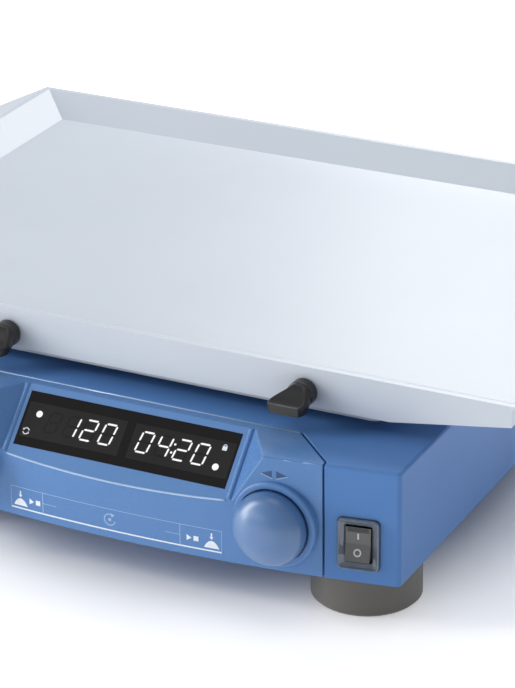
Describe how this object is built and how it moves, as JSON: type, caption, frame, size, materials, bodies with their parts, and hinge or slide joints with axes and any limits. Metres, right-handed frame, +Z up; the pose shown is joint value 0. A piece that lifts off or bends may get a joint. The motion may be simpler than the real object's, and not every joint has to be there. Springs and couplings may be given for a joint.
{
  "type": "orbital shaker",
  "caption": "Benchtop orbital shaker: low blue housing with a sloped display and dial knobs, carrying a wide white sheet tray on a circling table.",
  "frame": {"origin": "on the surface that the feet stand on, below the middle of the housing", "axes": "+X to the right seen from the front, +Y to the back, +Z up"},
  "size_m": [0.456, 0.3335, 0.103],
  "materials": {
    "housing_blue": "semi-gloss powder coat",
    "panel_blue": "satin moulded",
    "knob_blue": "satin moulded",
    "tray_white": "smooth powder coat",
    "foot_rubber": "matt",
    "black_plastic": "fine texture",
    "display_glass": "gloss dark filter",
    "led_black": "moulded",
    "led_white": "diffuse",
    "clear_grey": "soft translucent",
    "rocker_grey": "ribbed",
    "circuit_board": "lacquered",
    "steel": "machined",
    "brass": "plain",
    "fuse_glass": "clear",
    "cast_aluminium": "cast and machined",
    "motor_paint": "satin",
    "belt_rubber": "matt"
  },
  "bodies": {
    "base": {"housing_shell": "housing_blue", "base_plate": "housing_blue", "rubber_feet": "foot_rubber", "foot_screws": "steel", "housing_screws": "steel", "front_panel": "panel_blue", "display_window": "display_glass", "display_board": "circuit_board", "led_module_speed": "led_black", "led_module_time": "led_black", "status_leds": "led_white", "control_board": "circuit_board", "panel_screws": "steel", "encoder_bodies": "black_plastic", "encoder_sleeve_left": "brass", "encoder_sleeve_right": "brass", "switch_cover": "clear_grey", "switch_body": "black_plastic", "inlet_body": "black_plastic", "inlet_pins": "brass", "serial_socket": "steel", "power_board": "circuit_board", "power_parts": "black_plastic", "bearing_block": "cast_aluminium", "main_bearings": "steel", "motor_body": "motor_paint", "motor_bracket": "steel", "motor_posts": "steel", "drive_belt": "belt_rubber", "support_posts": "cast_aluminium", "support_bearings": "steel"},
    "main_crank": {"main_shaft": "steel", "driven_pulley": "cast_aluminium", "counterweight": "steel"},
    "motor_rotor": {"motor_shaft": "steel", "motor_pulley": "cast_aluminium"},
    "support_front_left": {"support_crank_front_left": "steel"},
    "support_front_right": {"support_crank_front_right": "steel"},
    "support_rear_left": {"support_crank_rear_left": "steel"},
    "support_rear_right": {"support_crank_rear_right": "steel"},
    "table": {"table_plate": "cast_aluminium", "table_bearing": "steel", "table_bushings": "brass", "tray_pan": "tray_white", "tray_pins": "steel", "clamp_washer_left": "steel", "clamp_washer_right": "steel"},
    "clamp_left": {"clamp_stud_left": "steel", "clamp_lever_left": "black_plastic"},
    "clamp_right": {"clamp_stud_right": "steel", "clamp_lever_right": "black_plastic"},
    "encoder_left": {"encoder_rotor_left": "brass"},
    "knob_left_body": {"encoder_shaft_left": "steel", "knob_left": "knob_blue"},
    "encoder_right": {"encoder_rotor_right": "brass"},
    "knob_right_body": {"encoder_shaft_right": "steel", "knob_right": "knob_blue"},
    "power_rocker": {"rocker": "rocker_grey"},
    "fuse_holder": {"fuse_drawer": "black_plastic", "fuses": "fuse_glass"}
  },
  "joints": [
    {"name": "crank_turn", "type": "hinge", "parent": "base", "child": "main_crank", "pos_m": [0, 0.0215, 0.05], "axis": [0, 0, 1], "continuous": true},
    {"name": "motor_turn", "type": "hinge", "parent": "base", "child": "motor_rotor", "pos_m": [0, -0.065, 0.045], "axis": [0, 0, 1], "continuous": true},
    {"name": "support_turn_front_left", "type": "hinge", "parent": "base", "child": "support_front_left", "pos_m": [-0.088, -0.0665, 0.06], "axis": [0, 0, 1], "continuous": true},
    {"name": "support_turn_front_right", "type": "hinge", "parent": "base", "child": "support_front_right", "pos_m": [0.088, -0.0665, 0.06], "axis": [0, 0, 1], "continuous": true},
    {"name": "support_turn_rear_left", "type": "hinge", "parent": "base", "child": "support_rear_left", "pos_m": [-0.088, 0.1095, 0.06], "axis": [0, 0, 1], "continuous": true},
    {"name": "support_turn_rear_right", "type": "hinge", "parent": "base", "child": "support_rear_right", "pos_m": [0.088, 0.1095, 0.06], "axis": [0, 0, 1], "continuous": true},
    {"name": "table_orbit", "type": "hinge", "parent": "main_crank", "child": "table", "pos_m": [0.002, 0.0215, 0.085], "axis": [0, 0, 1], "continuous": true},
    {"name": "clamp_turn_left", "type": "hinge", "parent": "table", "child": "clamp_left", "pos_m": [-0.0755, -0.118, 0.0915], "axis": [0, 1, 0], "range_deg": [0, 180]},
    {"name": "clamp_turn_right", "type": "hinge", "parent": "table", "child": "clamp_right", "pos_m": [0.0755, -0.118, 0.0915], "axis": [0, 1, 0], "range_deg": [0, 180]},
    {"name": "knob_turn_left", "type": "hinge", "parent": "base", "child": "encoder_left", "pos_m": [-0.0786, -0.145, 0.0438], "axis": [0, 1, 0], "continuous": true},
    {"name": "knob_push_left", "type": "slide", "parent": "encoder_left", "child": "knob_left_body", "axis": [0, 1, 0], "range_m": [0, 0.0008], "stiffness_N_per_m": 800},
    {"name": "knob_turn_right", "type": "hinge", "parent": "base", "child": "encoder_right", "pos_m": [0.0786, -0.145, 0.0438], "axis": [0, 1, 0], "continuous": true},
    {"name": "knob_push_right", "type": "slide", "parent": "encoder_right", "child": "knob_right_body", "axis": [0, 1, 0], "range_m": [0, 0.0008], "stiffness_N_per_m": 800},
    {"name": "rocker_tilt", "type": "hinge", "parent": "base", "child": "power_rocker", "pos_m": [0.11654, -0.14668, 0.0399], "axis": [0.9864, 0.1646, 0], "range_deg": [0, 20]},
    {"name": "fuse_drawer_out", "type": "slide", "parent": "base", "child": "fuse_holder", "axis": [0, 1, 0], "range_m": [0, 0.022]}
  ],
  "couplings": [
    {"joint": "motor_turn", "follows": "crank_turn", "ratio": 4},
    {"joint": "table_orbit", "follows": "crank_turn", "ratio": -1},
    {"joint": "support_turn_front_left", "follows": "crank_turn", "ratio": 1},
    {"joint": "support_turn_front_right", "follows": "crank_turn", "ratio": 1},
    {"joint": "support_turn_rear_left", "follows": "crank_turn", "ratio": 1},
    {"joint": "support_turn_rear_right", "follows": "crank_turn", "ratio": 1}
  ]
}
